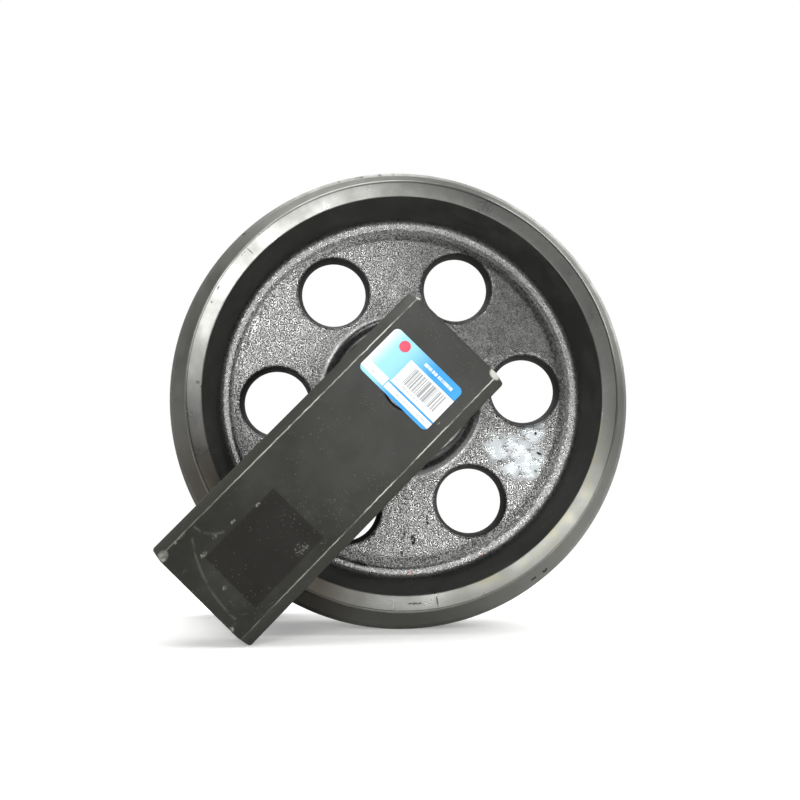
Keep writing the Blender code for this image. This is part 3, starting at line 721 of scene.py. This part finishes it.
bracketPaint = {
    "charcoal": (0.011, 0.0115, 0.0085),
    "dusty": (0.030, 0.031, 0.026),
    # painted sheen towards the nose
    "nose": ((0.043, 0.044, 0.040), 0.8),
    "chamfer": ((0.036, 0.037, 0.030), 0.8),
    # worn edges, partly a painted highlight
    "edgeWearAndHighlight": (0.52, 0.52, 0.47),
    "patch": ((0.0048, 0.0036, 0.0020), 0.85),
    "fleck": (0.17, 0.17, 0.145),
    "scratch": ((0.065, 0.067, 0.058), 0.65),
    "roughness": (0.44, 0.62),
    "specular": 0.24,
    "hazeShare": 0.5, "fleckShare": 0.45,
    "noseSheenFade": (0.20, -0.04),          # along the bracket
    "faceDepth": (0.0004, 0.0001),      # behind the outer face
    "chamferStart": (0.0002, 0.0008),   # past the face's flat
    # middle, half size and soft edge of the square patch
    "patchAlong": (0.1843, 0.0395, 0.0012), "patchAcross": (0.0085, 0.0290, 0.0012),
    # patch size and detail of a noise, the levels that it is cut between, and its roughness
    "scratchBreak": (0.010, 4.0, 0.36, 0.56, 0.6), "hazeBreak": (0.0018, 3.0, 0.50, 0.60),
    "chipBreak": (0.0020, 4.0, 0.42, 0.60, 0.7),
    # worn lines and corners: half width and soft edge, wander, depth behind the face, gaps, fade to the tail
    "lineWidth": (0.00014, 0.0007), "lineWander": 0.0014, "lineDepth": (0.002, 0.001),
    "lineGaps": (0.38, 0.56, 0.14, 1.0), "lineFade": (0.235, 0.06, 0.22, 1.0),
    "cornerDepth": (0.006, 0.002), "cornerWear": (-0.10, 0.30, 0.15, 0.9),
    # middle along and across the bracket, half size along and across
    "haze": ((0.1637, 0.0315, 0.0065, 0.0055),),
    "chips": (
        (0.1870, -0.0255, 0.0028, 0.0014), (0.2234, -0.0236, 0.0034, 0.0022),
        (0.2065, -0.0272, 0.0022, 0.0018), (0.1630, -0.0205, 0.0024, 0.0015),
        (0.2305, 0.0084, 0.0022, 0.0018), (0.2252, -0.0479, 0.0048, 0.0015),
        (0.2321, -0.0475, 0.0022, 0.0017), (0.0067, 0.0406, 0.0016, 0.0009)),
    "corners": (
        (0.2480, -0.0468, 0.0056, 0.0044), (0.2505, 0.0364, 0.0020, 0.0022),
        (-0.0590, 0.0462, 0.0046, 0.0056), (-0.0595, -0.0478, 0.0016, 0.0024)),
    # middle along and across, radius, and where across the scratch starts and ends
    "arcs": ((0.1270, 0.0278, 0.1155, -0.0400, 0.0330), (0.1907, -0.0454, 0.0217, -0.0460, -0.0236)),
    "arcWidth": (0.0004, 0.0014),
}


def arcScratches(along, across):
    total = 0.0
    for alongMiddle, acrossMiddle, radius, start, end in bracketPaint["arcs"]:
        one = doMath("SUBTRACT", along, alongMiddle)
        two = doMath("SUBTRACT", across, acrossMiddle)
        away = doMath("SQRT", doMath("MULTIPLY_ADD", one, one, doMath("MULTIPLY", two, two)))
        run = both(between(across, start, end), doMath("GREATER_THAN", one, 0.0))
        total = either(total, both(run, band(away, radius, *bracketPaint["arcWidth"])))
    return total


def upTo(outward, depths):
    # From 0 at the first depth behind the bracket's outer face to 1 at the second.
    return remap(outward, *(bracketShape["outer"] - depth for depth in depths))


def makeBracketPaint():
    material, tree, shader = newMaterial("bracketPaint")
    s = bracketShape
    p = bracketPaint
    place, along, depth, across = bracketCoords(tree, s["lean"])
    outward = doMath("ABSOLUTE", depth)
    near = nearSide(depth)
    face = both(upTo(outward, p["faceDepth"]), near)
    ragged = doMath("SUBTRACT", cloud(place, 0.006, 3.0), 0.5)
    marks = useGroup(tree, dust, {"Vector": place, "Patch Size": 0.045, "Amount": 0.8})
    flecks = useGroup(tree, dust, {"Vector": place, "Patch Size": 0.026, "Amount": 0.5})
    color = blendColor(marks["Mask"], p["charcoal"], p["dusty"])
    # Towards the nose the paint is greyer, a painted sheen.
    nose = remap(along, *p["noseSheenFade"])
    color = layer(color, nose, *p["nose"])
    # The chamfers are evenly grey.
    flatHalf = s["width"] / 2 - s["chamfer"]
    sides = doMath("ABSOLUTE", across)
    chamfer = remap(sides, *(flatHalf + past for past in p["chamferStart"]))
    color = layer(color, chamfer, *p["chamfer"])
    # A square darker patch near the tail.
    patch = both(band(along, *p["patchAlong"]), band(across, *p["patchAcross"]))
    color = layer(color, both(face, patch), *p["patch"])
    # Curved scratches, a pale haze and pale chips at the tail, and small flecks everywhere.
    streaks = both(arcScratches(along, across), patchy(place, *p["scratchBreak"]))
    color = layer(color, both(streaks, face), *p["scratch"])
    haze = both(spots(along, across, p["haze"]), patchy(place, *p["hazeBreak"]))
    color = layer(color, both(haze, near), p["fleck"], p["hazeShare"])
    chips = both(spots(along, across, p["chips"]), patchy(place, *p["chipBreak"]))
    chips = either(both(chips, face), both(flecks["Flecks"], p["fleckShare"]))
    color = layer(color, chips, p["fleck"])
    # Worn lines, partly a painted highlight, where the face meets its chamfers, and worn outer corners.
    wandering = doMath("MULTIPLY_ADD", ragged, p["lineWander"], sides)
    line = band(wandering, flatHalf, *p["lineWidth"])
    broken = remap(cloud(place, 0.040, 5.0, 0.65), *p["lineGaps"])
    broken = both(broken, remap(along, *p["lineFade"]))
    wear = both(both(line, upTo(outward, p["lineDepth"])), broken)
    corners = both(both(near, spots(along, across, p["corners"])), upTo(outward, p["cornerDepth"]))
    corners = both(corners, remap(doMath("ADD", ragged, nose), *p["cornerWear"]))
    color = layer(color, either(wear, corners), p["edgeWearAndHighlight"])
    feed(shader.inputs["Base Color"], color)
    roughen(shader, cloud(place, 0.02, 5.0), *p["roughness"])
    shader.inputs["Specular IOR Level"].default_value = p["specular"]
    bump(shader, cloud(place, 0.0016, 3.0), 0.00005)
    return material


bracketSkins = [makeBracketPaint()]


def bracketPlace(side):
    # Turns along, across, outwards into the model's axes.
    lean = bracketShape["lean"]
    turn = Matrix((
        (-math.cos(lean), math.sin(lean), 0.0, 0.0),
        (0.0, 0.0, -1.0, 0.0),
        (-math.sin(lean), -math.cos(lean), 0.0, 0.0),
        (0.0, 0.0, 0.0, 1.0)))
    mirror = Matrix.Diagonal((1.0, 1.0, side, 1.0))
    return Matrix.Translation(axle) @ turn @ mirror


def boxMesh(low, high):
    bm = bmesh.new()
    size = Vector(high) - Vector(low)
    middle = (Vector(high) + Vector(low)) / 2
    bmesh.ops.create_cube(bm, size=1.0, matrix=Matrix.Translation(middle) @ Matrix.Diagonal((*size, 1.0)))
    return bm


def bevelEdges(bm, edges, width, segments):
    bmesh.ops.bevel(bm, geom=edges, offset=width, offset_type="OFFSET", segments=segments, profile=0.5,
                    affect="EDGES", clamp_overlap=True, material=-1)


def turnedTool(corners, steps):
    # A tool turned about the outward axis of the bracket; corners are (radius, height).
    bm = bmesh.new()
    verts = [bm.verts.new((radius, 0.0, height)) for radius, height in corners]
    for first, second in zip(verts, verts[1:]):
        bm.edges.new((first, second))
    spinRound(bm, steps, (0.0, 0.0, 1.0))
    return bm


def drillTool(radius, length, steps, matrix):
    bm = bmesh.new()
    bmesh.ops.create_cone(bm, cap_ends=True, segments=steps, radius1=radius, radius2=radius, depth=length,
                          matrix=matrix)
    return bm


def runsAlong(edge, axis):
    first, second = (vert.co for vert in edge.verts)
    return abs((first - second).normalized()[axis]) > 0.99


def makeBracketBlock(name):
    # The block with its chamfers, its rounded ends and its broken edges.
    s = bracketShape
    half = s["width"] / 2
    bm = boxMesh((-s["nose"], -half, s["inner"]), (s["tail"], half, s["outer"]))
    outerLong = [edge for edge in bm.edges
                 if runsAlong(edge, 0) and edge.verts[0].co.z > s["outer"] - 0.001]
    bevelEdges(bm, outerLong, s["chamfer"], 1)
    ends = [edge for edge in bm.edges if abs(edge.verts[0].co.x - edge.verts[1].co.x) < 0.0001
            and abs(edge.verts[0].co.z - edge.verts[1].co.z) > 0.001]
    bevelEdges(bm, ends, s["cornerR"], 4)
    sharp = [edge for edge in bm.edges if edge.calc_face_angle(0.0) > math.radians(30)]
    bevelEdges(bm, sharp, s["edgeR"], 2)
    return meshPiece(name, bm, bracketSkins)


def makeBracketTools(name):
    # What is joined to the block and cut from it: boss, bore, cored pockets and drilled holes.
    s = bracketShape
    reach = s["reach"]
    boss = turnedTool([
        (0.0, s["bossFace"]),
        (s["bossR"] - s["bossEdge"], s["bossFace"]),
        (s["bossR"], s["bossFace"] + s["bossEdge"]),
        (s["bossFootR"], s["inner"] + reach),
        (0.0, s["inner"] + reach)], s["turnedSteps"])
    bore = turnedTool([
        (0.0, s["bossFace"] - reach),
        (s["pocketR"], s["bossFace"] - reach),
        (s["pocketR"], s["sealFloor"]),
        (s["boreR"], s["sealFloor"]),
        (s["boreR"], s["outer"] - s["boreMouth"]),
        (s["boreR"] + s["boreMouth"] + reach, s["outer"] + reach),
        (0.0, s["outer"] + reach)], s["turnedSteps"])
    tools = []

    def add(label, bm, operation="DIFFERENCE"):
        tools.append((meshPiece(name + label, bm, bracketSkins), operation))

    add("Boss", boss, "UNION")
    add("Bore", bore)
    floor = s["inner"] + s["coreDepth"]
    for across in (1, -1):
        centre = across * (s["coreRib"] + s["coreWidth"]) / 2
        pocket = boxMesh((s["coreStart"], centre - s["coreWidth"] / 2, s["inner"] - reach),
                         (s["coreEnd"], centre + s["coreWidth"] / 2, floor))
        bevelEdges(pocket, [edge for edge in pocket.edges if runsAlong(edge, 2)], s["coreCornerR"], 8)
        floorEdges = [edge for edge in pocket.edges if min(vert.co.z for vert in edge.verts) > floor - 0.0001]
        bevelEdges(pocket, floorEdges, s["coreFloorR"], 3)
        add(f"Core{across}", pocket)
        yoke = drillTool(s["yokeR"], s["yokeDepth"] * 2, s["drilledSteps"], Matrix.Translation(
            (s["tail"], across * s["yokeOffset"], s["holeHeight"])) @ Matrix.Rotation(math.pi / 2, 4, "Y"))
        add(f"Yoke{across}", yoke)
    pin = drillTool(s["pinR"], s["width"] + 0.01, s["drilledSteps"], Matrix.Translation(
        (s["pinOffset"], 0.0, s["holeHeight"])) @ Matrix.Rotation(math.pi / 2, 4, "X"))
    add("PinHole", pin)
    return tools


def makeBracket(name, side, replaced):
    bracket = makeBracketBlock(name)
    tools = makeBracketTools(name)
    for tool, operation in tools:
        boolean(bracket, tool, operation)
    applyModifiers(bracket)
    for tool, operation in tools:
        bpy.data.objects.remove(tool)
    bracket.data.transform(bracketPlace(side))
    if side < 0:
        bracket.data.flip_normals()
    smoothPiece(bracket, bracketShape["smoothAngle"])
    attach(bracket, "supports")
    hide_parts(replaced)
    return bracket


nearBracket = makeBracket("nearBracket", 1, "near_bracket")
makeBracket("farBracket", -1, "far_bracket")
print("Made both brackets:", len(nearBracket.data.polygons), "faces each")


# Sticker.
stickerShape = {
    "alongStart": -0.0284, "alongEnd": 0.0205, "acrossStart": -0.0430, "acrossEnd": 0.0370,
    "cornerR": 0.0050, "lift": 0.00012, "thickness": 0.00015,
}

stickerInk = {
    "white": (0.80, 0.81, 0.81), "blue": (0.010, 0.28, 0.68), "pale": (0.27, 0.60, 0.74),
    "grey": (0.16, 0.17, 0.18), "red": (0.62, 0.050, 0.100),
    "roughness": (0.30, 0.42),
    # shares of the label's length (u, from its upper left) and width (v, from the nose side)
    "toPale": (-0.06, 0.17), "toBlue": (0.22, 0.66), "ruleToBlue": (0.15, 0.50),
    "panelStart": 0.36, "panelRows": (0.255, 0.765),
    "thinLine": (0.775, 0.815), "lowStart": 0.33, "lowRule": 0.345, "edgeStripe": (0.935, 1.0),
    "barRun": (0.445, 0.915), "barRows": (0.30, 0.655),
    "barWidth": 0.0013, "barLevel": 0.48, "barShare": 0.8,
    "dot": (-0.0205, -0.0262, 0.0052, 0.0052),      # middle along and across, half sizes
    # rows of small dashes: u from, u to, v from, v to, ink and share
    "dashes": ((0.48, 0.90, 0.105, 0.165, "white", 0.8), (0.46, 0.72, 0.690, 0.725, "grey", 0.5),
               (0.06, 0.30, 0.855, 0.885, "grey", 0.5), (0.38, 0.92, 0.860, 0.890, "grey", 0.5)),
    "dashWidth": 0.0011, "dashLevel": 0.46,
}


def makeStickerMaterial():
    # A plain label: a blue head band, a pale blue end with a red dot, a white panel with bars, blue rules.
    material, tree, shader = newMaterial("printedLabel")
    s = stickerShape
    ink = stickerInk
    place, along, depth, across = bracketCoords(tree, bracketShape["lean"])
    u = remap(across, s["acrossStart"], s["acrossEnd"], curve="LINEAR")
    v = remap(along, s["alongStart"], s["alongEnd"], curve="LINEAR")
    # The ground fades from white at the upper left, through pale blue, to full blue at the right.
    ground = blendColor(remap(u, *ink["toPale"]), ink["white"], ink["pale"])
    ground = layer(ground, remap(u, *ink["toBlue"]), ink["blue"])
    panel = both(doMath("GREATER_THAN", u, ink["panelStart"]), between(v, *ink["panelRows"]))
    low = doMath("GREATER_THAN", v, ink["panelRows"][1])
    color = layer(ground, either(panel, low), ink["white"])
    thinLine = both(between(v, *ink["thinLine"]), doMath("GREATER_THAN", u, ink["lowStart"]))
    rules = either(thinLine, between(v, *ink["edgeStripe"]))
    rules = either(rules, both(low, between(u, ink["lowStart"], ink["lowRule"])))
    ruleBlue = blendColor(remap(u, *ink["ruleToBlue"]), ink["pale"], ink["blue"])
    color = layer(color, rules, ruleBlue)
    dot = spots(along, across, [ink["dot"]])
    color = layer(color, doMath("GREATER_THAN", dot, 0.5), ink["red"])
    bars = doMath("GREATER_THAN", lineCloud(across, 0.0, ink["barWidth"], 1.0), ink["barLevel"])
    row = both(between(v, *ink["barRows"]), between(u, *ink["barRun"]))
    color = layer(color, both(bars, row), ink["grey"], ink["barShare"])
    beat = doMath("GREATER_THAN", lineCloud(across, 0.02, ink["dashWidth"], 0.0), ink["dashLevel"])
    for start, end, top, bottom, shade, share in ink["dashes"]:
        dashes = both(beat, both(between(u, start, end), between(v, top, bottom)))
        color = layer(color, dashes, ink[shade], share)
    feed(shader.inputs["Base Color"], color)
    roughen(shader, cloud(place, 0.01, 3.0), *ink["roughness"])
    bump(shader, cloud(place, 0.012, 2.0), 0.0003)
    return material


def makeSticker():
    s = stickerShape
    bottom = bracketShape["outer"] + s["lift"]
    bm = boxMesh((s["alongStart"], s["acrossStart"], bottom),
                 (s["alongEnd"], s["acrossEnd"], bottom + s["thickness"]))
    bevelEdges(bm, [edge for edge in bm.edges if runsAlong(edge, 2)], s["cornerR"], 6)
    sticker = meshPiece("label", bm, [makeStickerMaterial()])
    sticker.data.transform(bracketPlace(1))
    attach(sticker, "supports")


makeSticker()
print("Made the label")


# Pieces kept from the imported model.
metalFinish = {
    # colour, darker colour, roughness, metallic
    "ground": ((0.30, 0.30, 0.29), (0.12, 0.12, 0.11), 0.32, 1.0),
    "sealIron": ((0.24, 0.24, 0.24), (0.12, 0.12, 0.12), 0.28, 1.0),
    "bushBronze": ((0.50, 0.34, 0.15), (0.30, 0.19, 0.08), 0.35, 1.0),
    "washerCopper": ((0.60, 0.28, 0.17), (0.36, 0.15, 0.08), 0.35, 1.0),
    "sealRubber": ((0.018, 0.018, 0.018), (0.010, 0.010, 0.010), 0.7, 0.0),
}


def makePlainFinish(name):
    light, dark, roughness, metallic = metalFinish[name]
    material, tree, shader = newMaterial(name)
    place = wheelCoords(tree)[0]
    patches = cloud(place, 0.008, 5.0, 0.6)
    feed(shader.inputs["Base Color"], blendColor(remap(patches, 0.35, 0.7), light, dark))
    roughen(shader, patches, roughness - 0.05, roughness + 0.1)
    shader.inputs["Metallic"].default_value = metallic
    bump(shader, cloud(place, 0.0012, 2.0), 0.00004)
    return material


def dress(finish, *names):
    material = makePlainFinish(finish)
    for name in names:
        for slot in nodes[name].material_slots:
            slot.material = material


dress("ground", "shaft", "near_lock_pin", "far_lock_pin")
dress("sealIron", "near_wheel_seal_ring", "near_bracket_seal_ring", "far_wheel_seal_ring",
      "far_bracket_seal_ring", "oil_plug")
dress("bushBronze", "near_bush", "far_bush")
dress("washerCopper", "oil_plug_washer")
dress("sealRubber", "near_wheel_toric_ring", "near_bracket_toric_ring", "far_wheel_toric_ring",
      "far_bracket_toric_ring", "near_shaft_o_ring", "far_shaft_o_ring")
print("Dressed the shaft, pins, bushes, seals and plug")


# Floor, light and camera.
studio = {
    "floorColor": (0.80, 0.80, 0.79),
    "floorLift": 0.30,       # added to the floor where the camera sees it
    "floorRadius": 1.6,
    "floorFade": (0.35, 1.2),   # distances over which the floor turns white
    "white": (1.0, 1.0, 1.0),
    "worldSoft": 0.20,
    "worldGloss": 0.08,      # what a gloss sees in front of the part
}


def makeFloor():
    bm = bmesh.new()
    bmesh.ops.create_circle(bm, cap_ends=True, segments=96, radius=studio["floorRadius"])
    material = bpy.data.materials.new("paleFloor")
    material.use_nodes = True
    tree = material.node_tree
    tree.nodes.clear()
    diffuse = addNode(tree, "ShaderNodeBsdfDiffuse", {"Color": studio["floorColor"]})
    path = addNode(tree, "ShaderNodeLightPath")
    seen = either(path.outputs["Is Camera Ray"], path.outputs["Is Transmission Ray"])
    place = addNode(tree, "ShaderNodeTexCoord").outputs["Object"]
    away = addNode(tree, "ShaderNodeVectorMath", {0: place}, operation="LENGTH").outputs["Value"]
    fade = remap(away, *studio["floorFade"])
    lift = addNode(tree, "ShaderNodeEmission", {
        "Color": studio["white"], "Strength": both(seen, studio["floorLift"])})
    lifted = addNode(tree, "ShaderNodeAddShader", {0: diffuse.outputs[0], 1: lift.outputs[0]})
    plain = addNode(tree, "ShaderNodeEmission", {"Color": studio["white"], "Strength": 1.0})
    toWhite = both(path.outputs["Is Camera Ray"], fade)
    mixed = addNode(tree, "ShaderNodeMixShader", {0: toWhite, 1: lifted.outputs[0], 2: plain.outputs[0]})
    addNode(tree, "ShaderNodeOutputMaterial", {"Surface": mixed.outputs[0]})
    meshPiece("floor", bm, [material])


def aim(lamp, target):
    direction = Vector(target) - lamp.location
    lamp.rotation_euler = direction.to_track_quat("-Z", "Y").to_euler()


softBoxes = {
    # place, width, height, watts
    "upperLeft": ((-0.43, -1.50, 0.74), 1.00, 0.52, 13.5),
    "lowRight": ((0.40, -1.45, 0.00), 0.50, 0.34, 11.5),
    "topRight": ((1.25, 0.20, 1.25), 1.80, 1.50, 34.0),
    "top": ((-0.30, 0.10, 1.75), 1.90, 1.10, 27.0),
    "behind": ((-0.40, 1.60, 1.30), 1.20, 1.20, 8.0),
}


def makeLight():
    for name, (place, width, height, watts) in softBoxes.items():
        data = bpy.data.lights.new(name, "AREA")
        data.shape = "RECTANGLE"
        data.size = width
        data.size_y = height
        data.energy = watts
        lamp = bpy.data.objects.new(name, data)
        bpy.context.scene.collection.objects.link(lamp)
        lamp.location = place
        aim(lamp, axle)
    world = bpy.data.worlds.new("studio")
    bpy.context.scene.world = world
    world.use_nodes = True
    tree = world.node_tree
    background = tree.nodes["Background"]
    path = addNode(tree, "ShaderNodeLightPath")
    place = addNode(tree, "ShaderNodeTexCoord").outputs["Generated"]
    way = addNode(tree, "ShaderNodeSeparateXYZ", {"Vector": place})
    behind = remap(way.outputs["Y"], 0.0, 0.5, studio["worldGloss"], 1.0)
    level = addNode(tree, "ShaderNodeMix", {
        0: path.outputs["Is Glossy Ray"], 2: studio["worldSoft"], 3: behind}, data_type="FLOAT")
    feed(background.inputs["Color"], studio["white"])
    feed(background.inputs["Strength"], either(level.outputs[0], path.outputs["Is Camera Ray"]))


lens = {
    "place": (-0.0659, -0.900, 0.1295),
    "azimuth": math.radians(4.14),
    "elevation": math.radians(5.58),
    "length": 41.65,
    "sensor": 36.0,
}


def makeCamera():
    data = bpy.data.cameras.new("photoView")
    data.lens = lens["length"]
    data.sensor_width = lens["sensor"]
    data.clip_end = 50.0
    camera = bpy.data.objects.new("photoView", data)
    bpy.context.scene.collection.objects.link(camera)
    azimuth, elevation = lens["azimuth"], lens["elevation"]
    ahead = Vector((math.sin(azimuth) * math.cos(elevation), math.cos(azimuth) * math.cos(elevation),
                    math.sin(elevation)))
    camera.location = lens["place"]
    camera.rotation_euler = ahead.to_track_quat("-Z", "Y").to_euler()
    bpy.context.scene.camera = camera


makeFloor()
makeLight()
makeCamera()
bpy.context.scene.view_settings.view_transform = "Standard"
print("Set up the floor, lamps and camera")
